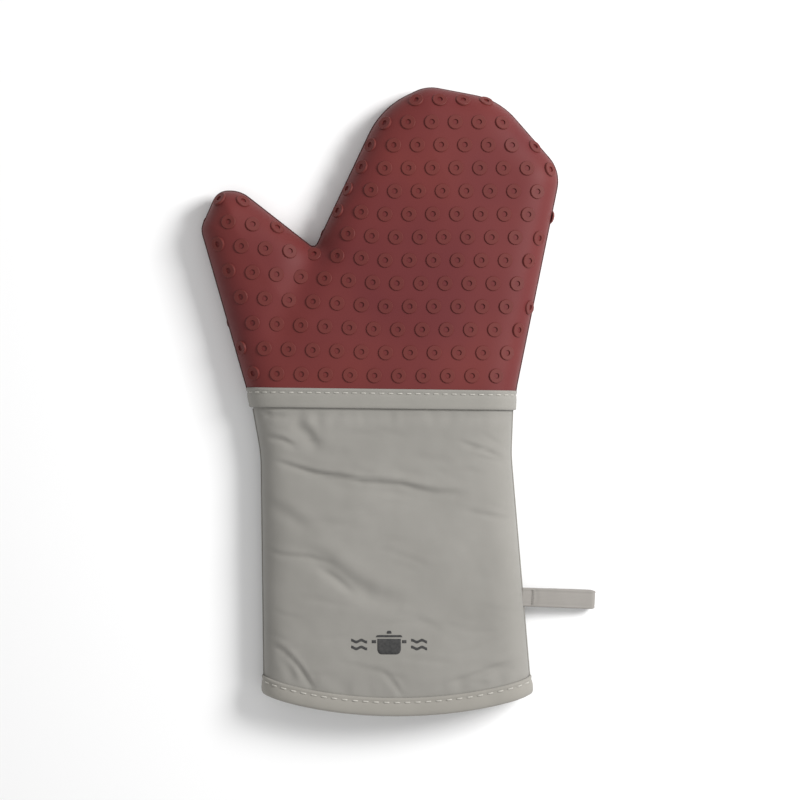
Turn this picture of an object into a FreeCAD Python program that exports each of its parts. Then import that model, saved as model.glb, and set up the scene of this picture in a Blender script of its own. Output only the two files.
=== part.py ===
"""Oven mitt: a moulded silicone hand on a padded fabric cuff, lying on its back.

The mitt is a flat bag of nested layers, so one pattern outline drives every layer.  A layer is a
slab of the outline, moved in by its depth and rounded at its edges, less the next slab in.  Planes
and a large cylinder then divide the layers into hand and cuff, and into front and back.

The pattern frame has its origin in the middle of the wrist line, +Y towards the fingertips, and
+Z out of the front.  At the end every piece is moved so that the origin is under the middle of the
whole mitt, on the surface it lies on.
"""

import FreeCAD
import Part
import math
import os
import Sketcher

# The driving dimensions: the name of each cell, its size in millimetres or degrees, its meaning.
SIZES = [
    ("hand_length", 170.9, "wrist line to the corner of the fingertips"),
    ("wrist_width", 150.4, "width of the hand at the wrist line"),
    ("wrist_round", 60, "radius of the outline at the wrist line"),
    ("finger_side", 100.4, "reach of the little finger's side from the middle of the wrist"),
    ("finger_side_height", 123.4, "height of the widest place of the finger pocket"),
    ("finger_side_round", 20, "radius of the outline there"),
    ("shoulder_reach", 65.6, "side of the slope that leads to the fingertips"),
    ("shoulder_drop", 7.7, "depth of that slope's top below the fingertips"),
    ("shoulder_round", 40, "radius of the outline there"),
    ("tip_reach", 25.2, "side of the highest point of the fingertips"),
    ("tip_round", 20, "radius of the outline there"),
    ("forefinger_reach", 0, "side of the corner between the fingertips and the forefinger"),
    ("forefinger_drop", 12.2, "depth of that corner below the fingertips"),
    ("forefinger_round", 45, "radius of the outline there"),
    ("crotch_side", 37.5, "side of the crotch between forefinger and thumb"),
    ("crotch_height", 79.2, "height of the crotch"),
    ("crotch_round", 3, "radius of the crotch"),
    ("thumb_top_side", 79.5, "side of the corner on top of the thumb"),
    ("thumb_top_height", 112, "height of the top of the thumb"),
    ("thumb_top_round", 16, "radius of the corner on top of the thumb"),
    ("thumb_tip_side", 92, "side of the upper corner of the thumb's tip"),
    ("corner_margin", 0.5, "how much the tightest outline corners exceed the edge's radius"),
    ("thumb_reach", 101.3, "side of the lower corner of the thumb's tip"),
    ("thumb_reach_height", 90.9, "height of that corner"),
    ("waist_width", 142.6, "width of the cuff at its narrowest, with the band's tape"),
    ("waist_shift", 2.5, "how far the middle of the cuff's waist is off the wrist's"),
    ("waist_drop", 36, "depth of the waist below the wrist line"),
    ("waist_round", 70, "radius of the outline at the waist"),
    ("cuff_length", 180.6, "wrist line to the lowest point of the hem"),
    ("hem_width", 153, "width of the mouth, with its binding"),
    ("hem_shift", 9.5, "how far the middle of the mouth is off the wrist's"),
    ("hem_radius", 275, "radius of the curved hem"),
    ("thickness", 28, "thickness of the mitt as it lies"),
    ("seam_height", 11, "height of the side seams above the surface"),
    ("edge_round", 8, "radius of the mitt's edges"),
    ("silicone_wall", 1.8, "wall of the silicone shells"),
    ("cuff_fabric", 0.5, "thickness of the cuff's fabric"),
    ("wadding", 3, "thickness of the wadding"),
    ("lining", 1, "thickness of the lining"),
    ("ply_gap", 0.1, "gap between two layers"),
    ("seam_gap", 0.6, "gap that a side seam's thread or bond fills"),
    ("tape", 1.2, "thickness of the folded tape of the band, the binding and the loop"),
    ("band_width", 11.2, "width of the wrist band"),
    ("binding_width", 10.5, "width of the hem binding"),
    ("stitch_inset", 3, "distance of a topstitch from the tape's edge"),
    ("thread", 0.6, "thickness of the thread"),
    ("band_pitch", 4.9, "length of one topstitch of the band and its gap"),
    ("hem_pitch", 5.6, "length of one topstitch of the binding and its gap"),
    ("stitch_share", 0.62, "share of that length that shows as thread"),
    ("loop_drop", 116.1, "depth of the hanging loop below the wrist line"),
    ("loop_length", 39.6, "length of the hanging loop, from its hinge line to its end"),
    ("loop_width", 10.5, "width of the loop's tape"),
    ("loop_eye", 7, "height of the eye at its round end"),
    ("loop_root", 5, "length of the sewn root of the loop"),
    ("loop_clearance", 0.6, "gap between the loop's root and the cuff's side"),
    ("loop_yaw", -3, "turn of the loop in the plane of the mitt"),
    ("loop_rise", 0.2, "height of the loop's hanging end above the surface"),
    ("bartack_length", 2.4, "length of the bartack along the loop"),
    ("bartack_width", 8, "width of the bartack across the loop"),
    ("bartack_height", 0.4, "thickness of the bartack's thread"),
]
TAIL = 40  # how far the slabs run on past the hem before they are cut
BEYOND = 400  # half the size of the boxes that divide the layers

doc = FreeCAD.newDocument("oven_mitt")
sheet = doc.addObject("Spreadsheet::Sheet", "sizes")
for row, (alias, value, meaning) in enumerate(SIZES, start=1):
    sheet.set(f"A{row}", meaning)
    sheet.set(f"B{row}", str(value))
    sheet.setAlias(f"B{row}", alias)
doc.recompute()


def size(alias):
    """The size in one cell of the sheet."""
    return float(sheet.get(alias))


# ---------------------------------------------------------------- the pattern outline

HEM_LEFT = "(sizes.hem_shift - sizes.hem_width / 2)"
HEM_RIGHT = "(sizes.hem_shift + sizes.hem_width / 2)"
WAIST_LEFT = "(sizes.waist_shift - sizes.waist_width / 2)"
WAIST_RIGHT = "(sizes.waist_shift + sizes.waist_width / 2)"
# The side lines run on in the same direction, so that the mouth keeps its width at the hem.
TAIL_RATIO = (
    f"((sizes.cuff_length + {TAIL} - sizes.waist_drop) / (sizes.cuff_length - sizes.waist_drop))"
)
TAIL_LEFT = f"{WAIST_LEFT} + ({HEM_LEFT} - {WAIST_LEFT}) * {TAIL_RATIO}"
TAIL_RIGHT = f"{WAIST_RIGHT} + ({HEM_RIGHT} - {WAIST_RIGHT}) * {TAIL_RATIO}"
TAIL_HEIGHT = f"-(sizes.cuff_length + {TAIL})"
TIGHTEST = "(sizes.edge_round + sizes.corner_margin)"
# The corners of the outline, anticlockwise: name, side, height and radius.
CORNERS = [
    ("tail_right", TAIL_RIGHT, TAIL_HEIGHT, TIGHTEST),
    ("waist_right", WAIST_RIGHT, "-sizes.waist_drop", "sizes.waist_round"),
    ("wrist_right", "sizes.wrist_width / 2", "0", "sizes.wrist_round"),
    ("finger_side", "sizes.finger_side", "sizes.finger_side_height", "sizes.finger_side_round"),
    (
        "shoulder",
        "sizes.shoulder_reach",
        "sizes.hand_length - sizes.shoulder_drop",
        "sizes.shoulder_round",
    ),
    ("fingertip", "sizes.tip_reach", "sizes.hand_length", "sizes.tip_round"),
    (
        "forefinger",
        "sizes.forefinger_reach",
        "sizes.hand_length - sizes.forefinger_drop",
        "sizes.forefinger_round",
    ),
    ("crotch", "-sizes.crotch_side", "sizes.crotch_height", "sizes.crotch_round"),
    ("thumb_top", "-sizes.thumb_top_side", "sizes.thumb_top_height", "sizes.thumb_top_round"),
    ("thumb_tip", "-sizes.thumb_tip_side", "sizes.thumb_top_height", TIGHTEST),
    ("thumb_reach", "-sizes.thumb_reach", "sizes.thumb_reach_height", TIGHTEST),
    ("wrist_left", "-sizes.wrist_width / 2", "0", "sizes.wrist_round"),
    ("waist_left", WAIST_LEFT, "-sizes.waist_drop", "sizes.waist_round"),
    ("tail_left", TAIL_LEFT, TAIL_HEIGHT, TIGHTEST),
]


def value_of(expression):
    """What an expression in the sheet's cells comes to."""
    names = {alias: size(alias) for alias, _, _ in SIZES}
    plain = expression.replace("sizes.", "")
    for alias in sorted(names, key=len, reverse=True):
        plain = plain.replace(alias, f"({names[alias]})")
    return float(FreeCAD.Units.Quantity(plain).Value)


def rounded_corner(before, corner, after, radius):
    """The arc of that radius that is tangent to both sides of a corner."""
    one, two = (before - corner).normalize(), (after - corner).normalize()
    half = one.getAngle(two) / 2
    reach = radius / math.tan(half)
    middle = (one + two).normalize() * (radius / math.sin(half) - radius)
    return Part.Arc(corner + one * reach, corner + middle, corner + two * reach)


def outline_sketch():
    """The pattern outline: lines from corner to corner, with a tangent arc at each corner."""
    sketch = doc.addObject("Sketcher::SketchObject", "pattern_outline")
    points = [FreeCAD.Vector(value_of(x), value_of(y), 0) for _, x, y, _ in CORNERS]
    radii = [value_of(radius) for _, _, _, radius in CORNERS]
    count = len(CORNERS)
    arcs = [
        rounded_corner(points[i - 1], points[i], points[(i + 1) % count], radii[i])
        for i in range(count)
    ]
    for i in range(count):
        here, there = arcs[i].toShape(), arcs[(i + 1) % count].toShape()
        sketch.addGeometry(arcs[i], False)
        sketch.addGeometry(
            Part.LineSegment(here.valueAt(here.LastParameter), there.valueAt(there.FirstParameter)),
            False,
        )
    for i in range(count):
        sketch.addGeometry(Part.Point(points[i]), True)
    # An arc may be drawn either way round, so its ends are told apart by where they lie.
    for i in range(count):
        arc, line, corner = 2 * i, 2 * i + 1, 2 * count + i
        before = (line - 2) % (2 * count)
        start = sketch.getPoint(arc, 1)
        first = 1 if start.distanceToPoint(sketch.getPoint(before, 2)) < 0.01 else 2
        sketch.addConstraint(Sketcher.Constraint("Tangent", before, 2, arc, first))
        sketch.addConstraint(Sketcher.Constraint("Tangent", arc, 3 - first, line, 1))
        sketch.addConstraint(Sketcher.Constraint("PointOnObject", corner, 1, before))
        sketch.addConstraint(Sketcher.Constraint("PointOnObject", corner, 1, line))
        name, x, y, radius = CORNERS[i]
        for kind, what, expression in (("DistanceX", "x", x), ("DistanceY", "y", y)):
            number = sketch.addConstraint(
                Sketcher.Constraint(kind, -1, 1, corner, 1, value_of(expression))
            )
            sketch.renameConstraint(number, f"{name}_{what}")
            sketch.setExpression(f"Constraints.{name}_{what}", expression)
        number = sketch.addConstraint(Sketcher.Constraint("Radius", arc, value_of(radius)))
        sketch.renameConstraint(number, f"{name}_round")
        sketch.setExpression(f"Constraints.{name}_round", radius)
    doc.recompute()
    return sketch


outline = outline_sketch()
print("outline:", len(CORNERS), "corners, closed:", outline.Shape.isClosed())

# ---------------------------------------------------------------- the slabs of the layers

# How deep the faces of the layers lie inside the mitt's outer faces.
FABRIC_OUT = "sizes.tape + sizes.ply_gap"
FABRIC_IN = f"{FABRIC_OUT} + sizes.cuff_fabric"
WADDING_OUT = f"max({FABRIC_IN}; sizes.silicone_wall) + sizes.ply_gap"
WADDING_IN = f"{WADDING_OUT} + sizes.wadding"
LINING_OUT = f"{WADDING_IN} + sizes.ply_gap"
LINING_IN = f"{LINING_OUT} + sizes.lining"
TURNED_OUT = f"{LINING_IN} + sizes.ply_gap"
TURNED_IN = f"{TURNED_OUT} + sizes.tape"
SMALLEST_ROUND = 0.4  # radius of an edge that lies deeper than the mitt's own rounding


def slab(name, depth):
    """A rounded slab of the outline, with all its faces that deep inside the mitt's outer faces."""
    pattern = outline
    if depth != "0":
        pattern = doc.addObject("Part::Offset2D", f"{name}_outline")
        pattern.Source = outline
        pattern.Join = "Intersection"
        pattern.setExpression("Value", f"-({depth})")
    block = doc.addObject("Part::Extrusion", f"{name}_block")
    block.Base = pattern
    block.DirMode = "Custom"
    block.Dir = FreeCAD.Vector(0, 0, 1)
    block.Solid = True
    block.setExpression("LengthFwd", f"sizes.thickness - ({depth})")
    block.setExpression("LengthRev", f"-({depth})")
    doc.recompute()
    deep = float(block.evalExpression(depth))
    radius = max(size("edge_round") - deep, SMALLEST_ROUND)
    rims = [
        (number, radius, radius)
        for number, edge in enumerate(block.Shape.Edges, start=1)
        if edge.BoundBox.ZLength < SMALLEST_ROUND
    ]
    rounded = doc.addObject("Part::Fillet", name)
    rounded.Base = block
    rounded.Edges = rims
    doc.recompute()
    return rounded


def cut(name, whole, tool):
    """One solid less another."""
    result = doc.addObject("Part::Cut", name)
    result.Base = whole
    result.Tool = tool
    return result


def common(name, *solids):
    """What several solids share."""
    result = doc.addObject("Part::MultiCommon", name)
    result.Shapes = list(solids)
    return result


def space(name, low_y, high_y, low_z, high_z):
    """A box as wide as anything, between two heights of the pattern and two of the thickness."""
    box = doc.addObject("Part::Box", name)
    box.Length = 2 * BEYOND
    box.setExpression("Width", f"({high_y}) - ({low_y})")
    box.setExpression("Height", f"({high_z}) - ({low_z})")
    box.setExpression(".Placement.Base.x", f"-{BEYOND}")
    box.setExpression(".Placement.Base.y", low_y)
    box.setExpression(".Placement.Base.z", low_z)
    return box


def within_hem(name, back_off):
    """A disc whose edge is the curved hem, moved back towards the wrist."""
    disc = doc.addObject("Part::Cylinder", name)
    disc.setExpression("Radius", f"sizes.hem_radius - ({back_off})")
    disc.Height = 2 * BEYOND
    disc.setExpression(".Placement.Base.x", "sizes.hem_shift")
    disc.setExpression(".Placement.Base.y", "sizes.hem_radius - sizes.cuff_length")
    disc.setExpression(".Placement.Base.z", f"-{BEYOND}")
    return disc


UP, DOWN = f"{BEYOND}", f"-{BEYOND}"
FRONT_FROM = "sizes.seam_height + sizes.seam_gap / 2"
BACK_TO = "sizes.seam_height - sizes.seam_gap / 2"
HALVES = {"front": (FRONT_FROM, UP), "back": (DOWN, BACK_TO), "seam": (BACK_TO, FRONT_FROM)}

outer = slab("outer_slab", "0")
under_tape = slab("under_tape_slab", "sizes.tape")
inside_hem = within_hem("inside_hem", "sizes.tape + sizes.ply_gap")

# ---------------------------------------------------------------- the silicone hand

silicone = cut("silicone_layer", outer, slab("in_silicone_slab", "sizes.silicone_wall"))
hand_pieces = {}
for half, (low, high) in HALVES.items():
    reach = space(f"hand_{half}_space", "0", UP, low, high)
    hand_pieces[half] = common(f"silicone_{half}", silicone, reach)
hand_pieces["seam"].Label = "silicone_seam_bond"

# ---------------------------------------------------------------- the cuff's outer fabric

fabric = cut("fabric_layer", slab("fabric_slab", FABRIC_OUT), slab("in_fabric_slab", FABRIC_IN))
cuff_pieces = {}
for half, (low, high) in HALVES.items():
    reach = space(f"cuff_{half}_space", DOWN, "-sizes.ply_gap", low, high)
    cuff_pieces[half] = common(f"cuff_{half}", fabric, reach, inside_hem)
cuff_pieces["seam"].Label = "cuff_side_seams"

# ---------------------------------------------------------------- the wadding and the lining

inner_pieces = {}
for layer, from_depth, to_depth in (
    ("wadding", WADDING_OUT, WADDING_IN),
    ("lining", LINING_OUT, LINING_IN),
):
    whole = cut(f"{layer}_layer", slab(f"{layer}_slab", from_depth), slab(f"in_{layer}", to_depth))
    for half, low, high in (("front", "sizes.seam_height", UP), ("back", DOWN, "sizes.seam_height")):
        reach = space(f"{layer}_{half}_space", DOWN, UP, low, high)
        inner_pieces[layer, half] = common(f"{layer}_{half}", whole, reach, inside_hem)

# ---------------------------------------------------------------- the wrist band and the hem binding

tape_layer = cut("tape_layer", outer, under_tape)
band_reach = space("band_space", "-sizes.band_width", "-sizes.ply_gap", DOWN, UP)
wrist_band = common("wrist_band", tape_layer, band_reach)

# The binding is one strip of tape folded over the raw edges of all the layers at the mouth.
mouth_wall = cut("mouth_wall", outer, slab("turned_in_slab", TURNED_IN))
mouth_strip = cut(
    "mouth_strip",
    common("mouth_end", mouth_wall, within_hem("at_hem", "0")),
    within_hem("above_binding", "sizes.binding_width"),
)
edges_inside = common(
    "edges_inside",
    cut("edges_layer", under_tape, slab("turned_out_slab", TURNED_OUT)),
    within_hem("on_fold", "sizes.tape"),
)
hem_binding = cut("hem_binding", mouth_strip, edges_inside)

# ---------------------------------------------------------------- the topstitching


def stitches(name, places, length):
    """Short threads on the front face, each at a place and along a direction."""
    radius = size("thread") / 2
    lift = FreeCAD.Vector(0, 0, size("thickness") + radius)
    row = doc.addObject("Part::Feature", name)
    row.Shape = Part.Compound(
        [
            Part.makeCylinder(radius, length, place + lift - along * (length / 2), along)
            for place, along in places
        ]
    )
    return row


def band_places():
    """Places along the wrist band, between the rounded sides."""
    pitch = size("band_pitch")
    count = int((size("wrist_width") / 2 - size("edge_round") - pitch) / pitch)
    height = -size("stitch_inset")
    along = FreeCAD.Vector(1, 0, 0)
    return [(FreeCAD.Vector(i * pitch, height, 0), along) for i in range(-count, count + 1)]


def hem_places():
    """Places along the curve of the binding, between the rounded sides."""
    radius = size("hem_radius") - size("binding_width") + size("stitch_inset")
    middle = FreeCAD.Vector(size("hem_shift"), size("hem_radius") - size("cuff_length"), 0)
    pitch = size("hem_pitch")
    count = int((size("hem_width") / 2 - size("edge_round") - pitch) / pitch)
    places = []
    for i in range(-count, count + 1):
        turn = i * pitch / radius
        out = FreeCAD.Vector(math.sin(turn), -math.cos(turn), 0)
        along = FreeCAD.Vector(math.cos(turn), math.sin(turn), 0)
        places.append((middle + out * radius, along))
    return places


band_stitches = stitches("band_stitches", band_places(), size("band_pitch") * size("stitch_share"))
hem_stitches = stitches("hem_stitches", hem_places(), size("hem_pitch") * size("stitch_share"))

# ---------------------------------------------------------------- the hanging loop
# It is drawn in its own frame: the hinge line is its Y axis, and it reaches out along its X axis.

EYE_MIDDLE = "(sizes.loop_length - sizes.tape - sizes.loop_eye / 2)"


def eye_sketch():
    """The eye between the two plies: a round end, and two straight sides that meet at the root."""
    sketch = doc.addObject("Sketcher::SketchObject", "loop_eye_profile")
    sketch.Placement.Rotation = FreeCAD.Rotation(FreeCAD.Vector(1, 0, 0), 90)
    root = size("loop_root")
    middle = value_of(EYE_MIDDLE)
    radius = size("loop_eye") / 2
    lean = math.asin(radius / (middle - root))
    touch = FreeCAD.Vector(middle - radius * math.sin(lean), radius * math.cos(lean), 0)
    below = FreeCAD.Vector(touch.x, -touch.y, 0)
    meeting = FreeCAD.Vector(root, 0, 0)
    sketch.addGeometry(Part.LineSegment(meeting, touch), False)
    end = FreeCAD.Vector(middle + radius, 0, 0)
    sketch.addGeometry(Part.Arc(below, end, touch), False)
    sketch.addGeometry(Part.LineSegment(below, meeting), False)
    sketch.addConstraint(Sketcher.Constraint("Tangent", 0, 2, 1, 2))
    sketch.addConstraint(Sketcher.Constraint("Tangent", 1, 1, 2, 1))
    sketch.addConstraint(Sketcher.Constraint("Coincident", 2, 2, 0, 1))
    sketch.addConstraint(Sketcher.Constraint("PointOnObject", 0, 1, -1))
    sketch.addConstraint(Sketcher.Constraint("PointOnObject", 1, 3, -1))
    for label, constraint, expression in (
        ("root", Sketcher.Constraint("DistanceX", -1, 1, 0, 1, root), "sizes.loop_root"),
        ("middle", Sketcher.Constraint("DistanceX", -1, 1, 1, 3, middle), EYE_MIDDLE),
        ("eye", Sketcher.Constraint("Radius", 1, radius), "sizes.loop_eye / 2"),
    ):
        number = sketch.addConstraint(constraint)
        sketch.renameConstraint(number, label)
        sketch.setExpression(f"Constraints.{label}", expression)
    return sketch


def tape_wide(name, profile):
    """A profile made as wide as the loop's tape."""
    block = doc.addObject("Part::Extrusion", name)
    block.Base = profile
    block.DirMode = "Custom"
    block.Dir = FreeCAD.Vector(0, 1, 0)
    block.Solid = True
    block.Symmetric = True
    block.setExpression("LengthFwd", "sizes.loop_width")
    return block


eye = eye_sketch()
plies = doc.addObject("Part::Offset2D", "loop_outer_profile")
plies.Source = eye
plies.setExpression("Value", "sizes.tape")
root_block = doc.addObject("Part::Box", "loop_root_block")
root_block.setExpression("Length", "sizes.loop_root")
root_block.setExpression("Width", "sizes.loop_width")
root_block.setExpression("Height", "2 * sizes.tape")
root_block.setExpression(".Placement.Base.y", "-sizes.loop_width / 2")
root_block.setExpression(".Placement.Base.z", "-sizes.tape")
nose = doc.addObject("Part::Cylinder", "loop_nose")
nose.setExpression("Radius", "sizes.tape")
nose.setExpression("Height", "sizes.loop_width")
nose.Placement.Rotation = FreeCAD.Rotation(FreeCAD.Vector(1, 0, 0), 90)
nose.setExpression(".Placement.Base.y", "sizes.loop_width / 2")
folded = doc.addObject("Part::MultiFuse", "loop_folded")
folded.Shapes = [tape_wide("loop_outside", plies), root_block, nose]
hanging_loop = cut("hanging_loop", folded, tape_wide("loop_inside", eye))

bartack = doc.addObject("Part::Box", "loop_bartack")
bartack.setExpression("Length", "sizes.bartack_length")
bartack.setExpression("Width", "sizes.bartack_width")
bartack.setExpression("Height", "sizes.bartack_height")


def loop_placement():
    """Where the loop's hinge line lies, and how the loop hangs from it."""
    side_length = size("cuff_length") - size("waist_drop")
    side_spread = value_of(HEM_RIGHT) - value_of(WAIST_RIGHT)
    along = (size("loop_drop") - size("waist_drop")) / side_length
    side = value_of(WAIST_RIGHT) + side_spread * along
    # The side leans one way and the hinge line the other, so their ends are nearer than their middles.
    lean = side_spread / side_length - math.tan(math.radians(size("loop_yaw")))
    nearer = size("loop_width") / 2 * abs(lean)
    hinge_x = side - size("ply_gap") + size("loop_clearance") + nearer
    hinge = FreeCAD.Vector(hinge_x, -size("loop_drop"), size("seam_height"))
    end_radius = size("loop_eye") / 2 + size("tape")
    fall = size("seam_height") - end_radius - size("loop_rise")
    hang = math.degrees(math.asin(fall / value_of(EYE_MIDDLE)))
    yaw = FreeCAD.Rotation(FreeCAD.Vector(0, 0, 1), size("loop_yaw"))
    return FreeCAD.Placement(hinge, yaw * FreeCAD.Rotation(FreeCAD.Vector(0, 1, 0), hang))


hanging_loop.Placement = loop_placement()
on_root = FreeCAD.Vector(size("loop_root") / 2 - size("bartack_length") / 2, 0, size("tape"))
on_root.y = -size("bartack_width") / 2
bartack.Placement = loop_placement() * FreeCAD.Placement(on_root, FreeCAD.Rotation())
doc.recompute()

# ---------------------------------------------------------------- the pieces, and their frame

PIECES = [
    *hand_pieces.values(),
    *cuff_pieces.values(),
    *inner_pieces.values(),
    wrist_band,
    hem_binding,
    band_stitches,
    hem_stitches,
    hanging_loop,
    bartack,
]

box = FreeCAD.BoundBox()
for piece in PIECES:
    box.add(piece.Shape.optimalBoundingBox(False, False))
middle = FreeCAD.Vector((box.XMin + box.XMax) / 2, (box.YMin + box.YMax) / 2, box.ZMin)
for piece in PIECES:
    piece.Placement = FreeCAD.Placement(-middle, FreeCAD.Rotation()) * piece.Placement
doc.recompute()
print(f"whole mitt: {box.XLength:.1f} x {box.YLength:.1f} x {box.ZLength:.1f} mm")
hinge = hanging_loop.Placement.Base
print(f"loop's hinge line passes ({hinge.x:.2f}, {hinge.y:.2f}, {hinge.z:.2f})")

for item in doc.Objects:
    if "Invalid" in item.State or "Error" in item.State:
        raise RuntimeError(f"{item.Label} failed: {item.State}")
for piece in PIECES:
    if piece.Shape.isNull() or not piece.Shape.isValid():
        raise RuntimeError(f"{piece.Label} has no valid shape")

os.makedirs("parts", exist_ok=True)
for piece in PIECES:
    piece.Shape.exportStep(f"parts/{piece.Label}.step")
    print(f"{piece.Label}: {len(piece.Shape.Solids)} solids, {piece.Shape.Volume / 1000:.2f} cm3")
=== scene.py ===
# %% [markdown]
# # An oven mitt: moulded silicone over a padded cloth cuff
# A mitt is a flat bag of nested layers.  One outline is cut twice, for the front and for the back,
# and silicone, wadding and lining follow it one inside the other.  So this script makes one flat
# net of points inside the outline, and lifts it several times, once for each layer.  The CAD frame
# says where everything is, and only the soft shapes are made anew.

# %% Load the frame
import math

import bmesh
import bpy
import numpy as np
from mathutils import Matrix, Vector, noise
from mathutils.geometry import delaunay_2d_cdt


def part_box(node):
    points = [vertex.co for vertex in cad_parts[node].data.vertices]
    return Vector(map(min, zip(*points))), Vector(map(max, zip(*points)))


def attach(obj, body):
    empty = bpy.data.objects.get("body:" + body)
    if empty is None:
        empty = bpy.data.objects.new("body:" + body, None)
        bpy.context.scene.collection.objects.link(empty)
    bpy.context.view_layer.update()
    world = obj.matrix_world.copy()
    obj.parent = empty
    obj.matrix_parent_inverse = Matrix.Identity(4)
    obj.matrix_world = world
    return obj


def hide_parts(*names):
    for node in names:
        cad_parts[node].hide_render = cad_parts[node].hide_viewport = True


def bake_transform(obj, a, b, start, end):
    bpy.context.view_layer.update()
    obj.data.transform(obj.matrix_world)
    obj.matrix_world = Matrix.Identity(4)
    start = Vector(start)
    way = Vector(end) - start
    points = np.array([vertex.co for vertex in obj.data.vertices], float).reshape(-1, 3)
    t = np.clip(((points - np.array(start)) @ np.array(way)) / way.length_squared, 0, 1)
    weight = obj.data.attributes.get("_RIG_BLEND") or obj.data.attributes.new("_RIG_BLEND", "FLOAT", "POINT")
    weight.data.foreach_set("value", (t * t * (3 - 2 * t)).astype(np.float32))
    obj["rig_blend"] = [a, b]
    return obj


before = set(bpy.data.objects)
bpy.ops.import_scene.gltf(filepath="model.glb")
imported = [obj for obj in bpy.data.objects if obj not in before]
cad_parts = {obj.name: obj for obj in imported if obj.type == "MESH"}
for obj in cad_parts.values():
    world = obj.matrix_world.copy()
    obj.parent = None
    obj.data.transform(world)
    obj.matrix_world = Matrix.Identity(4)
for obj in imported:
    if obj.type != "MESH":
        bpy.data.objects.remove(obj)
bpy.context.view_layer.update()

MM = 0.001
HALVES = ("front", "back")
print("frame loaded:", sorted(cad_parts))


# %% [markdown]
# ## The outline, read from the frame
# The bond between the two silicone halves runs round the hand exactly along its outline, and the
# two side seams do the same on the cuff.  Their flat upper faces are enough to read the outline
# from, so nothing is measured twice.  A CAD mesh is loose triangles, so a copy is merged first.

# %% Rims of flat CAD faces
BOND_LOW, BOND_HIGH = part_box("silicone_seam_bond")
BAND_LOW, BAND_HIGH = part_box("wrist_band")
HEM_LOW, HEM_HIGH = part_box("hem_binding")
_, FRONT_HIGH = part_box("silicone_front")
_, CLOTH_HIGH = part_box("cuff_front")
SEAM_Z = (BOND_LOW.z + BOND_HIGH.z) / 2
CLOTH_DEPTH = FRONT_HIGH.z - CLOTH_HIGH.z


def flat_rims(node):
    """The closed rims, as arrays of x and y, of a CAD node's faces that look straight up."""
    bm = bmesh.new()
    bm.from_mesh(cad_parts[node].data)
    bmesh.ops.remove_doubles(bm, verts=bm.verts, dist=1e-6)
    bm.normal_update()
    flat = {face for face in bm.faces if face.normal.z > 0.99}
    unused = {edge for edge in bm.edges if sum(face in flat for face in edge.link_faces) == 1}
    rims = []
    while unused:
        edge = unused.pop()
        walk = list(edge.verts)
        while walk[-1] is not walk[0]:
            edge = next(link for link in walk[-1].link_edges if link in unused)
            unused.discard(edge)
            walk.append(edge.other_vert(walk[-1]))
        rims.append(np.array([(vert.co.x, vert.co.y) for vert in walk[:-1]]))
    bm.free()
    return rims


def hand_outline():
    """The outer side of the bond, from the right end of the wrist round to the left end."""
    rim = flat_rims("silicone_seam_bond")[0]
    low = np.flatnonzero(rim[:, 1] < rim[:, 1].min() + 0.1 * MM)
    right, left = low[rim[low, 0].argmax()], low[rim[low, 0].argmin()]
    rim = np.roll(rim, -right, axis=0)
    left = (left - right) % len(rim)
    ways = rim[: left + 1], np.concatenate([rim[:1], rim[left:][::-1]])
    return max(ways, key=lambda way: way[:, 1].max())


def cuff_side(side, heights):
    """How far out the cuff's fabric reaches at some heights, on the right (1) or the left (-1)."""
    rim = max(flat_rims("cuff_side_seams"), key=lambda points: side * points[:, 0].mean())
    after = np.roll(rim, -1, axis=0)
    reach = []
    for height in heights:
        crossed = (rim[:, 1] - height) * (after[:, 1] - height) <= 0
        one, two = rim[crossed], after[crossed]
        share = (height - one[:, 1]) / np.where(two[:, 1] == one[:, 1], 1, two[:, 1] - one[:, 1])
        across = one[:, 0] + share * (two[:, 0] - one[:, 0])
        reach.append(side * (side * across).max())
    return np.array(reach)


def resampled(points, step):
    """The same open line, with points evenly spaced along it."""
    lengths = np.linalg.norm(np.diff(points, axis=0), axis=1)
    along = np.concatenate([[0], np.cumsum(lengths)])
    marks = np.linspace(0, along[-1], max(2, round(along[-1] / step) + 1))
    return np.stack([np.interp(marks, along, points[:, axis]) for axis in range(points.shape[1])], 1)


NET_STEP = 1.45 * MM
side_heights = np.linspace(HEM_HIGH.y, BAND_HIGH.y - 0.2 * MM, 40)
right_side = np.stack([cuff_side(1, side_heights) + CLOTH_DEPTH, side_heights], 1)
left_side = np.stack([cuff_side(-1, side_heights) - CLOTH_DEPTH, side_heights], 1)


def run_on(points, to_height):
    """A side line, made longer at its lower end in the direction it has there."""
    step = points[0] - points[6]
    return np.vstack([points[0] + step * (to_height - points[0, 1]) / step[1], points])


BELOW = HEM_LOW.y - 12 * MM
SIDES = resampled(
    np.vstack([run_on(right_side, BELOW), hand_outline(), run_on(left_side, BELOW)[::-1]]), NET_STEP
)
print(f"outline: {len(SIDES)} points, {SIDES[:, 0].min():.4f} to {SIDES[:, 0].max():.4f} m wide")

# %% [markdown]
# ## Distance to the outline
# Everything soft depends on one number: how far a point is from the side seam.  At the seam the two
# faces meet, and a little way in the mitt has its full thickness.  A plain function of that distance
# gives the puffed edge, and the direction away from the seam moves the inner layers inwards.


# %% Distance and direction from the seam
def unit(vectors):
    """The same vectors, each of length one."""
    return vectors / np.linalg.norm(vectors, axis=-1, keepdims=True)


def inward_of(line):
    """The direction into an outline that runs anticlockwise, at each of its points."""
    tangent = np.gradient(line, axis=0)
    return unit(np.stack([-tangent[:, 1], tangent[:, 0]], 1))


INWARD = inward_of(SIDES)
ON_SEAM = 0.3 * MM  # a point nearer than this lies on the seam
AT_ONCE = 2000  # points that are handled together, to save memory


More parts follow.
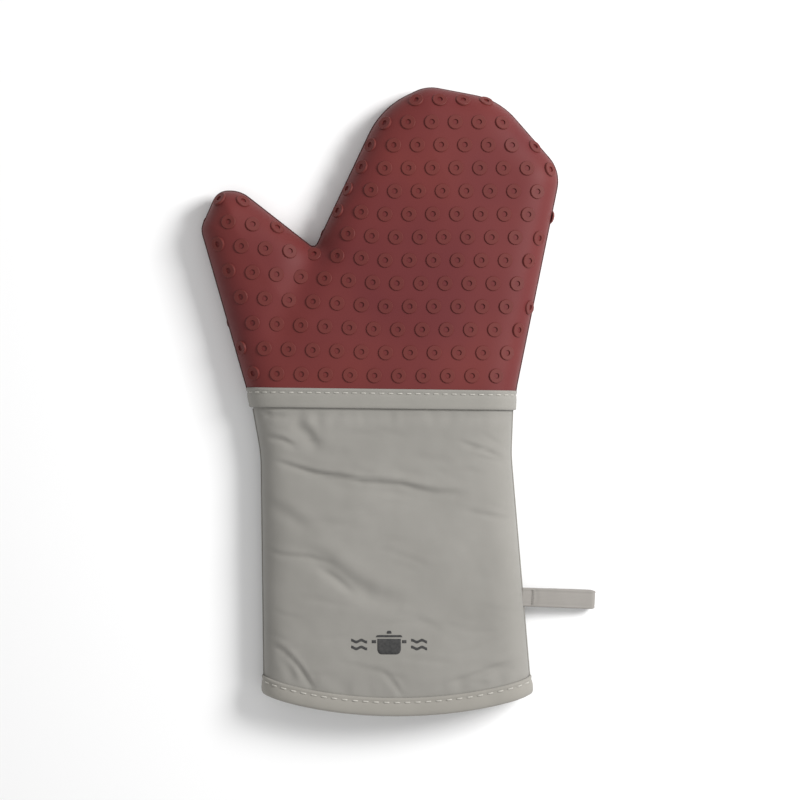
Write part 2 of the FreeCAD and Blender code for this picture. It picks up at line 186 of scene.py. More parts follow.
def from_seam(points):
    """For each point: its distance from the nearest side seam, and the direction away from it."""
    start, span = SIDES[:-1], np.diff(SIDES, axis=0)
    best = np.full(len(points), np.inf)
    away = np.zeros((len(points), 2))
    for begin in range(0, len(points), AT_ONCE):
        some = points[begin : begin + AT_ONCE]
        offset = some[:, None, :] - start[None]
        share = np.clip((offset * span).sum(2) / (span * span).sum(1), 0, 1)
        apart = offset - share[..., None] * span
        distance = np.linalg.norm(apart, axis=2)
        nearest = distance.argmin(1)
        rows = np.arange(len(some))
        short = distance[rows, nearest][:, None]
        # A point on the seam has no direction of its own, and takes the seam's.
        part = share[rows, nearest][:, None]
        facing = unit(INWARD[nearest] * (1 - part) + INWARD[nearest + 1] * part)
        straight = apart[rows, nearest] / np.maximum(short, 1e-9)
        away[begin : begin + AT_ONCE] = np.where(short < ON_SEAM, facing, straight)
        best[begin : begin + AT_ONCE] = short[:, 0]
    return best, away


def inside(points, polygon):
    """Which points lie inside a closed polygon."""
    one, two = polygon, np.roll(polygon, -1, axis=0)
    result = np.zeros(len(points), bool)
    for (x1, y1), (x2, y2) in zip(one, two):
        if y1 == y2:
            continue
        crossed = (y1 > points[:, 1]) != (y2 > points[:, 1])
        result ^= crossed & (points[:, 0] < x1 + (points[:, 1] - y1) * (x2 - x1) / (y2 - y1))
    return result


deepest = from_seam(np.array([[0, BAND_LOW.y]]))[0][0]
print(f"the middle of the wrist is {deepest * 1000:.0f} mm from a side seam")

# %% [markdown]
# ## One flat net of points
# A Delaunay triangulation fills the outline with even triangles, and keeps the lines it is given:
# the sides, the curved hem and the wrist.  Rows of points close to the side seam are needed, because
# the surface turns down steeply there.

# %% The net
STEEP_REACH = 13 * MM  # how far in from the seam the surface is too steep for an even net
EDGE_ROWS = [STEEP_REACH * (1 - math.cos(math.radians(angle))) for angle in (11, 20, 29, 38, 47, 56)]
HEM_RADIUS = 275 * MM
HEM_MIDDLE = (HEM_LOW.x + HEM_HIGH.x) / 2
FOLD = 1.3 * MM  # the cloth ends this far inside the fold of the binding
WRIST_Y = BAND_HIGH.y - 1.2 * MM  # the silicone ends under the upper edge of the wrist band
CELL = 0.45 * NET_STEP  # two points nearer than this are one too many
CLEAR = 0.5 * NET_STEP  # loose points stay this far from the lines of the net
ROW_SLACK = 0.12 * MM  # a point of an edge row may be this far off its depth, or it is left out
SIDES_END = 40 * MM  # side_x knows the two sides up to this height, below the thumb


def hem_y(x):
    """Height of the curved hem at x."""
    across = np.asarray(x) - HEM_MIDDLE
    return HEM_LOW.y + HEM_RADIUS - np.sqrt(HEM_RADIUS**2 - across**2)


def side_x(height):
    """Where the left and the right side are at one height of the cuff or the wrist."""
    low = SIDES[SIDES[:, 1] < SIDES_END]
    right, left = low[low[:, 0] > 0], low[low[:, 0] < 0][::-1]
    return np.interp(height, left[:, 1], left[:, 0]), np.interp(height, right[:, 1], right[:, 0])


def spread(low, high):
    """Numbers from low to high, about a net step apart."""
    return np.linspace(low, high, round((high - low) / NET_STEP))


def net_border():
    """The net's closed border, how many of its points are on the sides, and the wrist's line."""
    sides = SIDES[SIDES[:, 1] > hem_y(SIDES[:, 0]) + FOLD + 0.4 * NET_STEP]
    hem_x = spread(sides[-1, 0], sides[0, 0])
    border = np.vstack([sides[1:-1], np.stack([hem_x, hem_y(hem_x) + FOLD], 1)])
    ends = side_x(WRIST_Y)
    for x in ends:
        border[np.abs(border - (x, WRIST_Y)).sum(1).argmin()] = x, WRIST_Y
    wrist_x = spread(*ends)[1:-1]
    wrist = np.stack([wrist_x, np.full(len(wrist_x), WRIST_Y)], 1)
    return border, len(sides) - 2, wrist


def thinned(points):
    """The points, without those that come too close to an earlier one.  The wrist's all stay."""
    kept, seen = [], set()
    for point in points:
        cell = tuple(np.round(point / CELL).astype(int))
        near = any((cell[0] + i, cell[1] + j) in seen for i in (-1, 0, 1) for j in (-1, 0, 1))
        if near and abs(point[1] - WRIST_Y) > 1e-9:
            continue
        seen.add(cell)
        kept.append(point)
    return kept


def flat_net():
    """Points and triangles that fill the outline, with the wrist and the hem as lines in it."""
    border, side_count, wrist = net_border()
    inward = inward_of(border)
    points = [wrist]
    for depth in EDGE_ROWS:
        row = border[:side_count] + inward[:side_count] * depth
        distance, _ = from_seam(row)
        points.append(row[np.abs(distance - depth) < ROW_SLACK])
    low, high = border.min(0), border.max(0)
    rows = []
    for number, y in enumerate(np.arange(low[1], high[1], NET_STEP * math.sqrt(0.75))):
        x = np.arange(low[0] + (number % 2) * NET_STEP / 2, high[0], NET_STEP)
        rows.append(np.stack([x, np.full(len(x), y)], 1))
    grid = np.concatenate(rows)
    grid = grid[inside(grid, border)]
    distance, _ = from_seam(grid)
    points.append(grid[distance > EDGE_ROWS[-1] + CLEAR])
    loose = np.concatenate(points)
    clear_of_hem = loose[:, 1] > hem_y(loose[:, 0]) + FOLD + CLEAR
    off_wrist = np.abs(loose[:, 1] - WRIST_Y) > CLEAR
    off_wrist[: len(wrist)] = True
    loose = loose[inside(loose, border) & clear_of_hem & off_wrist]
    everything = np.vstack([border, thinned(loose)])
    size = len(border)
    ring = [(i, (i + 1) % size) for i in range(size)]
    on_wrist = np.flatnonzero(np.abs(everything[:, 1] - WRIST_Y) < 1e-9)
    on_wrist = on_wrist[everything[on_wrist, 0].argsort()]
    line = list(zip(on_wrist[:-1].tolist(), on_wrist[1:].tolist()))
    found = delaunay_2d_cdt([Vector(point) for point in everything.tolist()], ring + line, [], 1, 1e-7)
    return np.array([tuple(point) for point in found[0]]), np.array(found[2])


NET, NET_FACES = flat_net()
HAND = NET[NET_FACES].mean(1)[:, 1] > WRIST_Y  # which triangles are in the hand
CUFF = ~HAND
WHOLE = HAND | CUFF
print(f"net: {len(NET)} points, {len(NET_FACES)} triangles, {HAND.sum()} of them in the hand")

# %% [markdown]
# ## How high the two faces rise
# The mitt lies on its back, so its back is nearly flat and its front is crowned.  Each face leaves
# the seam steeply, much as a quarter of an ellipse does, and swells a little more towards the middle.
# Broad slow hollows keep it from looking blown up, and a deeper one runs down from the thumb's crotch.

# %% Rise of the front and of the back
FRONT_RISE = FRONT_HIGH.z - SEAM_Z - 1.2 * MM
BACK_RISE = SEAM_Z - 0.95 * MM  # the mitt rests on its rings and tapes, which stand this far out
EDGE_ROUND = 24 * MM  # how far in from the seam the mitt reaches its full thickness
CROWN = 2.6 * MM
CROTCH = Vector((-46.8, 84)) * MM
HOLLOW_END = Vector((-66, 42)) * MM
HOLLOW_DEPTH, HOLLOW_WIDTH = 3.8 * MM, 10 * MM
BAND_PINCH = 1.2 * MM  # how much the wrist band draws the mitt in


def hill(distance, width):
    """A smooth hill: 1 at no distance, and nearly 0 at twice the width."""
    return np.exp(-((distance / width) ** 2))


def near_line(points, line):
    """The distance of each point from an open line, and how far along the line it is."""
    best = np.full(len(points), np.inf)
    along = np.zeros(len(points))
    done = 0.0
    for one, two in zip(line[:-1], line[1:]):
        span = two - one
        length = np.linalg.norm(span)
        share = np.clip((points - one) @ span / length**2, 0, 1)
        distance = np.linalg.norm(points - one - share[:, None] * span, axis=1)
        closer = distance < best
        best[closer] = distance[closer]
        along[closer] = (done + share * length)[closer]
        done += length
    return best, along / done


def slow_noise(points, scale, seed):
    """Smooth uneven numbers between about -1 and 1, one for each point."""
    return np.array([noise.noise(Vector((x / scale, y / scale, seed))) for x, y in points])


def front_rise(points, distance):
    """Height of the front's outer face over the seam, away from the rounded edge."""
    rise = FRONT_RISE + CROWN * (1 - hill(distance, 34 * MM))
    hollow, along = near_line(points, np.array([CROTCH, HOLLOW_END]))
    rise -= HOLLOW_DEPTH * hill(hollow, HOLLOW_WIDTH) * (1 - 0.6 * along)
    rise += 0.5 * MM * slow_noise(points, 38 * MM, 4.2)
    return rise - BAND_PINCH * hill(points[:, 1] - BAND_LOW.y, 11 * MM)


def back_rise(points, distance):
    """Depth of the back's outer face under the seam: it rests on what the mitt lies on."""
    hollow = 0.9 * MM * np.clip(slow_noise(points, 45 * MM, 9.1), 0, 1)
    return BACK_RISE - hollow * np.clip(distance / (40 * MM), 0, 1)


def ellipse(distance):
    """The share of the rise that is reached at a distance from the seam."""
    left = np.clip(1 - distance / EDGE_ROUND, 0, 1)
    return np.sqrt(1 - left**3)


print(f"rise over the seam: front {FRONT_RISE * 1000:.1f} mm, back {BACK_RISE * 1000:.1f} mm")

# %% [markdown]
# ## Layers from the net
# A layer is the net lifted twice, to the layer's outer face and to its inner face, with a narrow wall
# round the rim.  Points near the seam also move inwards with depth, so that nested layers never
# cross.  That makes each layer a closed piece of real thickness, which prints and exports well.

# %% Layer builder
INWARD_REACH = 34 * MM
FACES = {"front": (1, front_rise), "back": (-1, back_rise)}


def lifted(points, half, depth, extra=None):
    """Net points on one face, that deep inside the outer face.  extra adds height outwards."""
    side, rise = FACES[half]
    distance, away = from_seam(points)
    inward = depth * np.clip(1 - distance / INWARD_REACH, 0, 1)
    flat = points + away * inward[:, None]
    height = (rise(points, distance) - depth) * ellipse(distance)
    if extra is not None:
        height = height + extra(points) * ellipse(distance)
    return np.column_stack([flat, SEAM_Z + side * height])


def in_scene(name, data):
    """A new object in the scene, made of a mesh, a light or a camera."""
    thing = bpy.data.objects.new(name, data)
    bpy.context.scene.collection.objects.link(thing)
    return thing


def new_piece(name, points, faces, uvs=None):
    """A mesh object with smooth faces, and a UV map in metres if one is given."""
    mesh = bpy.data.meshes.new(name)
    mesh.from_pydata([tuple(point) for point in points], [], [tuple(face) for face in faces])
    mesh.update()
    if uvs is not None:
        layer = mesh.uv_layers.new(name="UVMap")
        corners = np.zeros(len(mesh.loops), int)
        mesh.loops.foreach_get("vertex_index", corners)
        layer.data.foreach_set("uv", np.asarray(uvs)[corners].ravel())
    mesh.shade_smooth()
    return in_scene(name, mesh)


def rim_edges(faces):
    """The directed edges that only one face uses."""
    sides = np.concatenate([faces[:, [0, 1]], faces[:, [1, 2]], faces[:, [2, 0]]])
    there = {tuple(side) for side in sides.tolist()}
    return np.array([side for side in sides.tolist() if (side[1], side[0]) not in there])


def layer_piece(name, part, half, outer_depth, inner_depth, extra=None):
    """One closed layer over the triangles that part picks, on one face of the mitt."""
    used, faces = np.unique(NET_FACES[part], return_inverse=True)
    faces = faces.reshape(-1, 3)
    points = NET[used]
    outer = lifted(points, half, outer_depth, extra)
    inner = lifted(points, half, inner_depth, extra)
    rim = rim_edges(faces)
    count = len(points)
    walls = np.column_stack([rim[:, 1], rim[:, 0], rim[:, 0] + count, rim[:, 1] + count])
    triangles = np.concatenate([faces, faces[:, ::-1] + count])
    if half == "back":
        triangles, walls = triangles[:, ::-1], walls[:, ::-1]
    both = np.concatenate([outer, inner])
    uvs = np.concatenate([points, points])
    piece = new_piece(name, both, triangles.tolist() + walls.tolist(), uvs)
    for edge in piece.data.edges:
        one, two = edge.vertices
        edge.use_edge_sharp = (one < count) != (two < count)
    return piece


# %% [markdown]
# ## The silicone hand
# Two thin shells are moulded flat and bonded round the edge.  The wall is an even 1.8 mm, so each
# shell is one layer of the net.

# %% Silicone shells
WALL = 1.8 * MM
silicone = {half: layer_piece(f"silicone_{half}_shell", HAND, half, 0, WALL) for half in HALVES}
print("silicone shells:", [len(piece.data.polygons) for piece in silicone.values()], "faces")

# %% [markdown]
# ## Small closed shapes
# Seams, stitches and tapes are tubes and strips.  Each is built as rows of points joined by
# four-sided faces.  A mesh encloses a positive volume only when its faces look outwards, so the
# volume tells when a strip has to be turned inside out.


# %% Tubes and rows of faces
def volume_of(points, faces):
    """The volume that faces enclose: it is negative if they look inwards."""
    total = 0.0
    for face in faces:
        first = points[face[0]]
        for two, three in zip(face[1:-1], face[2:]):
            total += np.dot(first, np.cross(points[two], points[three])) / 6
    return total


def rows_piece(name, rows, close_rows, uvs=None):
    """Equally long closed rows of points, joined one to the next.  Open ends get a cap."""
    rows = np.asarray(rows)
    count, size = rows.shape[:2]
    faces = []
    for i in range(count if close_rows else count - 1):
        here, there = i * size, (i + 1) % count * size
        for j in range(size):
            after = (j + 1) % size
            faces.append((here + j, here + after, there + after, there + j))
    if not close_rows:
        faces.append(tuple(range(size))[::-1])
        faces.append(tuple(range((count - 1) * size, count * size)))
    points = rows.reshape(-1, 3)
    if volume_of(points, faces) < 0:
        faces = [face[::-1] for face in faces]
    return new_piece(name, points, faces, uvs)


def tube(name, path, radius, sides=8):
    """A round cord of that radius along an open path."""
    path = np.asarray(path)
    forward = unit(np.gradient(path, axis=0))
    across = unit(np.cross(forward, (0, 0, 1)))
    upright = np.cross(across, forward)
    angles = (np.arange(sides) * 2 * math.pi / sides)[None, :, None]
    rings = radius * (np.cos(angles) * across[:, None] + np.sin(angles) * upright[:, None])
    return rows_piece(name, path[:, None] + rings, close_rows=False)


# %% [markdown]
# ## What repeats: geometry nodes
# Hundreds of rings and stitches are copies of one small mesh.  A geometry node tree puts a copy on
# every point, turned to lie on the surface, and turns the copies into real mesh at its end.  The
# result is then made a plain mesh, so that nothing is left to evaluate later.

# %% Geometry node helpers
GEOMETRY, FLOAT, OBJECT = "NodeSocketGeometry", "NodeSocketFloat", "NodeSocketObject"


class Nodes:
    """A node tree that grows a node at a time."""

    def __init__(self, tree):
        self.tree = tree

    def connect(self, value, socket):
        """Sends a node's first output, a socket or a plain value into a socket."""
        if isinstance(value, bpy.types.Node):
            value = value.outputs[0]
        if isinstance(value, bpy.types.NodeSocket):
            self.tree.links.new(value, socket)
        else:
            socket.default_value = value

    def add(self, kind, links=None, **settings):
        """A node with its settings.  Its inputs are given as nodes, as sockets or as plain values."""
        node = self.tree.nodes.new(kind)
        for name, value in settings.items():
            setattr(node, name, value)
        for name, value in (links or {}).items():
            self.connect(value, node.inputs[name])
        return node


class Recipe(Nodes):
    """A geometry node tree with named inputs."""

    def __init__(self, name, inputs):
        super().__init__(bpy.data.node_groups.new(name, "GeometryNodeTree"))
        interface = self.tree.interface
        interface.new_socket("Geometry", in_out="INPUT", socket_type=GEOMETRY)
        for label, kind in inputs.items():
            interface.new_socket(label, in_out="INPUT", socket_type=kind)
        interface.new_socket("Geometry", in_out="OUTPUT", socket_type=GEOMETRY)
        self.inputs = self.add("NodeGroupInput").outputs

    def up(self):
        """The upward direction that each point carries."""
        links = {"Name": "up"}
        return self.add("GeometryNodeInputNamedAttribute", links, data_type="FLOAT_VECTOR")

    def object_mesh(self, label):
        """The mesh of the object that is given to the input of that name."""
        return self.add("GeometryNodeObjectInfo", {"Object": self.inputs[label]}).outputs["Geometry"]

    def finish(self, points, pattern, rotation):
        """Puts a turned copy of a mesh on every point, and ends the tree with real mesh."""
        links = {"Points": points, "Instance": pattern, "Rotation": rotation}
        placed = self.add("GeometryNodeInstanceOnPoints", links)
        real = self.add("GeometryNodeRealizeInstances", {"Geometry": placed})
        self.surface = self.add("GeometryNodeSetMaterial", {"Geometry": real})
        self.add("NodeGroupOutput", {"Geometry": self.surface})


def run_recipe(recipe, name, seed_piece, values, material):
    """Runs a recipe on a piece, and returns the result as a plain mesh object."""
    recipe.surface.inputs["Material"].default_value = material
    modifier = seed_piece.modifiers.new("recipe", "NODES")
    modifier.node_group = recipe.tree
    for socket in recipe.tree.interface.items_tree:
        if socket.in_out == "INPUT" and socket.name in values:
            modifier[socket.identifier] = values[socket.name]
    bpy.context.view_layer.update()
    depsgraph = bpy.context.evaluated_depsgraph_get()
    mesh = bpy.data.meshes.new_from_object(seed_piece.evaluated_get(depsgraph))
    mesh.name = name
    bpy.data.objects.remove(seed_piece)
    for attribute in [item for item in mesh.attributes if item.name == "up"]:
        mesh.attributes.remove(attribute)
    return in_scene(name, mesh)


def seed_points(name, points, edges, up=None):
    """Loose points, joined by edges if any, that carry their upward direction."""
    mesh = bpy.data.meshes.new(name)
    mesh.from_pydata([tuple(point) for point in points], edges, [])
    if up is not None:
        mesh.attributes.new("up", "FLOAT_VECTOR", "POINT").data.foreach_set("vector", np.ravel(up))
    return in_scene(name, mesh)


# %% [markdown]
# ## Finishes
# Silicone is smooth rubber with a satin skin: its colour hardly varies, and only a faint grain breaks
# its shine.  The cloth is a plain weave.  Two sets of waves at right angles, read from the UV map in
# metres, make its threads, and a slow noise makes the shade drift as in washed cotton.

# %% Material helpers
WAVES = 0.314  # a wave texture of scale 1 has a wave every 0.314 of a unit


class Paint(Nodes):
    """A material."""

    def __init__(self, name, roughness, sheen=0.0):
        self.material = bpy.data.materials.new(name)
        self.material.use_nodes = True
        super().__init__(self.material.node_tree)
        self.shader = self.tree.nodes["Principled BSDF"]
        self.shader.inputs["Roughness"].default_value = roughness
        if sheen:
            self.shader.inputs["Sheen Weight"].default_value = sheen
            self.shader.inputs["Sheen Roughness"].default_value = 0.5

    def noise(self, where, scale, detail=2.0):
        """Noise of a scale in waves per metre."""
        links = {"Vector": where, "Scale": scale, "Detail": detail}
        return self.add("ShaderNodeTexNoise", links).outputs["Fac"]

    def blend(self, factor, one, two, low=0.3, high=0.7):
        """Two colours mixed by a factor, which is first stretched between low and high."""
        links = {"Value": factor, "From Min": low, "From Max": high}
        mix = self.add("ShaderNodeMix", data_type="RGBA")
        self.connect(self.add("ShaderNodeMapRange", links), mix.inputs["Factor"])
        for number, colour in ((6, one), (7, two)):
            full = (*colour, 1) if isinstance(colour, tuple) else colour
            self.connect(full, mix.inputs[number])
        return mix.outputs[2]

    def finish(self, colour, height, distance, strength=1.0):
        """Sends a colour to the shader, and a height in metres of relief to its normal."""
        links = {"Height": height, "Distance": distance, "Strength": strength}
        self.connect(self.add("ShaderNodeBump", links), self.shader.inputs["Normal"])
        self.connect(colour, self.shader.inputs["Base Color"])
        return self.material


def silicone_paint(name, light, dark):
    """Satin moulded silicone with a faint grain."""
    paint = Paint(name, roughness=0.58)
    paint.shader.inputs["Specular IOR Level"].default_value = 0.22
    where = paint.add("ShaderNodeTexCoord").outputs["Object"]
    colour = paint.blend(paint.noise(where, 16), light, dark)
    speckled = paint.blend(paint.noise(where, 900), colour, dark, 0.55, 1.4)
    return paint.finish(speckled, paint.noise(where, 1400), 0.00008, 0.35)


def cloth_paint(name, light, dark, thread=0.45 * MM, relief=0.00008):
    """A plain weave of threads of that pitch."""
    paint = Paint(name, roughness=0.88, sheen=0.15)
    where = paint.add("ShaderNodeUVMap", uv_map="UVMap").outputs["UV"]
    links = {"Vector": where, "Scale": WAVES / thread, "Distortion": 1.5}
    warp, weft = (
        paint.add("ShaderNodeTexWave", links, bands_direction=way).outputs["Fac"] for way in "XY"
    )
    threads = paint.add("ShaderNodeMath", {0: warp, 1: weft}, operation="MULTIPLY").outputs[0]
    colour = paint.blend(paint.noise(where, 22, 3.0), light, dark)
    shaded = paint.blend(threads, dark, colour, -0.5, 0.6)
    return paint.finish(shaded, threads, relief, 0.5)


def fibre_paint(name, light, dark, scale=900):
    """Thread or wadding: fine uneven fibres."""
    paint = Paint(name, roughness=0.8, sheen=0.2)
    where = paint.add("ShaderNodeTexCoord").outputs["Object"]
    fibres = paint.noise(where, scale, 3.0)
    return paint.finish(paint.blend(fibres, light, dark), fibres, 0.0002, 0.6)


SILICONE = silicone_paint("silicone_satin", (0.139, 0.0240, 0.0215), (0.112, 0.0180, 0.0195))
RING = silicone_paint("silicone_ring_satin", (0.131, 0.0255, 0.0215), (0.108, 0.0200, 0.0180))
# The bond's colour is much darker than the shells' colour: it is painted shade along the joint between the
# two shells.
BOND_PAINTED_SHADE = silicone_paint("silicone_bond_satin", (0.060, 0.012, 0.013), (0.045, 0.010, 0.011))
CUFF_CLOTH = cloth_paint("cuff_plain_weave", (0.283, 0.272, 0.250), (0.232, 0.223, 0.203))
BAND_TAPE = cloth_paint("band_tape_weave", (0.287, 0.276, 0.250), (0.242, 0.232, 0.210), 0.4 * MM)
HEM_TAPE = cloth_paint("hem_tape_weave", (0.310, 0.294, 0.264), (0.262, 0.248, 0.221), 0.4 * MM)
LOOP_TAPE = cloth_paint("loop_tape_weave", (0.295, 0.278, 0.256), (0.246, 0.231, 0.214), 0.4 * MM)
LINING_CLOTH = cloth_paint("lining_plain_weave", (0.340, 0.328, 0.300), (0.285, 0.273, 0.248))
THREAD = fibre_paint("stitching_thread", (0.46, 0.44, 0.40), (0.37, 0.355, 0.32))
TACK_THREAD = fibre_paint("bartack_thread", (0.270, 0.254, 0.235), (0.225, 0.212, 0.195))
WADDING = fibre_paint("wadding_fibres", (0.66, 0.65, 0.61), (0.55, 0.54, 0.50), 300)
INK = fibre_paint("printed_ink", (0.022, 0.022, 0.022), (0.042, 0.041, 0.040), 700)


def dress(piece, material, body, slot_name, *nodes):
    """Gives a finished piece its material and its body, and hides the CAD nodes that it stands for.  Its
    slot_name is not used.
    """
    piece.data.materials.clear()
    piece.data.materials.append(material)
    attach(piece, body)
    if nodes:
        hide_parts(*nodes)
    return piece


for half, shell in silicone.items():
    dress(shell, SILICONE, "mitt", "silicone", f"silicone_{half}")
print("finishes made:", len(bpy.data.materials))

# %% [markdown]
# ## The grip rings
# Low rings are moulded over both faces in a brick pattern, row over row.  Towards the thumb the rows
# climb a little, because the mould follows the thumb.  Each ring is dropped straight onto the silicone
# and turned to the slope that it lands on, which is what a geometry node ray cast does well.

# %% Grip rings
ROW_PITCH = 12.79 * MM
COLUMN_PITCH = 13.5 * MM
FIRST_ROW = 8.2 * MM  # from the wrist band to the middle of the first row
RING_OUTER, RING_HOLE, RING_HEIGHT = 4.2 * MM, 1.45 * MM, 0.7 * MM
RING_SIDES = 14
RING_ROWS = 13
CLIMB_FROM = -8 * MM  # left of this the rows climb
STEEPEST = 0.35  # no ring where the silicone's normal rises less than this
DROP = 60 * MM  # the rings start this far above or below the seam


def ring_mesh():
    """One ring: a low flat band round a hole, with small bevels, sunk a little at its foot."""
    bevel = 0.28 * MM
    foot = -0.5 * MM
    profile = [
        (RING_OUTER, foot),
        (RING_OUTER - 0.3 * bevel, RING_HEIGHT - bevel),
        (RING_OUTER - 1.3 * bevel, RING_HEIGHT),
        (RING_HOLE + 0.5 * bevel, RING_HEIGHT),
        (RING_HOLE, foot),
    ]
    angles = np.arange(RING_SIDES) * 2 * math.pi / RING_SIDES
    rows = [[(r * math.cos(a), r * math.sin(a), h) for r, h in profile] for a in angles]
    ring = rows_piece("ring_pattern", rows, close_rows=True)
    for edge in ring.data.edges:
        one, two = edge.vertices
        edge.use_edge_sharp = one % len(profile) == two % len(profile)
    ring.data.materials.append(RING)
    return ring


def ring_places():
    """Middles of the rings: a brick pattern whose rows climb a little towards the thumb."""
    places = []
    for row in range(RING_ROWS):
        height = BAND_HIGH.y + FIRST_ROW + row * ROW_PITCH
        pitch = COLUMN_PITCH - 0.04 * MM * row
        start = (-0.4 - 0.28 * row) * MM if row % 2 == 0 else 5.9 * MM - 0.1 * MM * row
        lean = 0.02 + 0.08 * min(row / 5, 1)
        for x in (start + column * pitch for column in range(-9, 9)):
            places.append((x, height + lean * max(0.0, CLIMB_FROM - x)))
    return places


def ring_recipe():
    """Drops every point onto a surface, and puts a ring there that lies on the slope."""
    inputs = {"Surface": OBJECT, "Ring": OBJECT, "Fall": FLOAT, "Steepest": FLOAT}
    recipe = Recipe("rings_on_silicone", inputs)
    add, given = recipe.add, recipe.inputs
    down = add("ShaderNodeCombineXYZ", {"Z": given["Fall"]})
    links = {"Target Geometry": recipe.object_mesh("Surface"), "Ray Direction": down}
    ray = add("GeometryNodeRaycast", links).outputs
    slope = add("ShaderNodeSeparateXYZ", {"Vector": ray["Hit Normal"]}).outputs["Z"]
    level = add("ShaderNodeMath", {0: slope}, operation="ABSOLUTE")
    steep = add("FunctionNodeCompare", {"A": level, "B": given["Steepest"]}, operation="LESS_THAN")
    missed = add("FunctionNodeBooleanMath", {0: ray["Is Hit"]}, operation="NOT")
    unwanted = add("FunctionNodeBooleanMath", {0: steep, 1: missed}, operation="OR")
    links = {"Geometry": given["Geometry"], "Selection": unwanted}
    kept = add("GeometryNodeDeleteGeometry", links)
    links = {"Geometry": kept, "Name": "up", "Value": ray["Hit Normal"]}
    upward = add("GeometryNodeStoreNamedAttribute", links, data_type="FLOAT_VECTOR")
    links = {"Geometry": upward, "Position": ray["Hit Position"]}
    dropped = add("GeometryNodeSetPosition", links)
    turn = add("FunctionNodeAlignRotationToVector", {"Vector": recipe.up()}, axis="Z")
    recipe.finish(dropped, recipe.object_mesh("Ring"), turn)
    return recipe


def grip_rings(half, ring, recipe):
    """All the rings of one face, as one piece."""
    side = FACES[half][0]
    points = [(x, y, SEAM_Z + side * DROP) for x, y in ring_places()]
    seeds = seed_points(f"{half}_ring_places", points, [])
    values = {"Surface": silicone[half], "Ring": ring, "Fall": -float(side), "Steepest": STEEPEST}
    rings = run_recipe(recipe, f"{half}_grip_rings", seeds, values, RING)
    return dress(rings, RING, "mitt", "silicone")


ring_pattern = ring_mesh()
rings_recipe = ring_recipe()
for half in HALVES:
    made = grip_rings(half, ring_pattern, rings_recipe)
    print(f"{half}: {len(made.data.polygons) // len(ring_pattern.data.polygons)} rings")
bpy.data.objects.remove(ring_pattern)

# %% [markdown]
# ## The bond round the hand
# A thin bead of silicone closes the joint between the two shells.  It is painted far darker than the shells,
# as painted shade in the joint.


# %% Bond bead
def length_of(line):
    """How long an open line of points is."""
    return float(np.linalg.norm(np.diff(line, axis=0), axis=1).sum())


hand_line = resampled(hand_outline(), 1.5 * MM)
bead_path = np.column_stack([hand_line, np.full(len(hand_line), SEAM_Z)])
bead = tube("silicone_bond_bead", bead_path, 0.55 * MM)
dress(bead, BOND_PAINTED_SHADE, "mitt", "silicone_bond", "silicone_seam_bond")
print(f"bond bead: {length_of(bead_path):.3f} m long")

# %% [markdown]
# ## The cuff's cloth
# Cloth that is sewn over soft wadding is never flat.  Long shallow creases run across the cuff where
# the wrist bends, short ones start at the band and at the seams, and the cloth puckers beside each
# line of stitching.  Each crease here is a soft valley with a low ridge above it.

# %% Creases
# Each crease: points that it runs through, its depth and its width, in millimetres.
FRONT_CREASES = [
    ([(-70, -34), (-60, -37), (-48, -40.5), (-27, -43.8)], 0.85, 1.5),
    ([(-36, -42), (-20, -45.5), (0, -46.6), (12, -49.5)], 1.0, 1.7),
    ([(2, -48), (20, -51.5), (36, -52)], 0.6, 2.2),
    ([(-62, -36), (-30, -47), (4, -52), (30, -56)], 0.7, 4.2),
    ([(-77, -20.5), (-66, -22), (-58, -26)], 0.7, 1.5),
    ([(-60, -12), (-51, -19), (-44, -28)], 0.8, 4.0),
    ([(-80, -4), (-73, -8.4), (-64, -8.6)], 0.7, 1.4),
    ([(33, -23), (48, -28), (65, -35)], 0.6, 1.4),
    ([(43, -31), (54, -33.5), (64, -36)], 0.45, 1.3),
    ([(34, -61), (50, -64), (66, -67)], 0.35, 1.6),
    ([(-78, -82), (-68, -86), (-50, -87.5), (-38, -91)], 0.45, 1.5),
    ([(-56, -84), (-42, -90), (-30, -100), (-14, -109), (4, -113)], 1.1, 5.5),
    ([(-47, -92), (-36, -99), (-25, -108)], 0.6, 2.2),
    ([(-73, -135), (-62, -142), (-54, -151), (-47, -162)], 0.8, 1.9),
    ([(-68, -142), (-60, -152), (-56, -160)], 0.6, 3.6),
    ([(-9, -151), (-2, -158), (2, -165)], 0.45, 1.8),
    ([(24, -158), (44, -152), (66, -144)], 0.55, 1.7),
    ([(-76, -58), (-62, -64), (-50, -73)], 0.5, 4.0),
]
BACK_CREASES = [
    ([(-60, -30), (-30, -36), (0, -34), (30, -41)], 0.8, 3.0),
    ([(20, -75), (40, -70), (60, -66)], 0.6, 2.6),
    ([(-70, -100), (-40, -108), (-10, -106)], 0.8, 4.5),
    ([(10, -128), (34, -134), (58, -130)], 0.7, 3.4),
]


CREASE_DEPTH = 1.7  # all creases are this much deeper than the lists say


def small_creases(seed, count):
    """Short shallow creases scattered over a panel, most of them running across it."""
    draws = np.random.default_rng(seed)
    found = []
    for _ in range(count):
        x, y = draws.uniform(-72, 64), draws.uniform(-160, -12)
        half_length = draws.uniform(6, 19)
        lean, bend = draws.normal(-0.14, 0.2), draws.normal(0, 1.4)
        line = [(x - half_length, y - lean * half_length), (x, y + bend)]
        line.append((x + half_length, y + lean * half_length))
        found.append((line, draws.uniform(0.1, 0.24), draws.uniform(1.3, 2.8)))
    return found


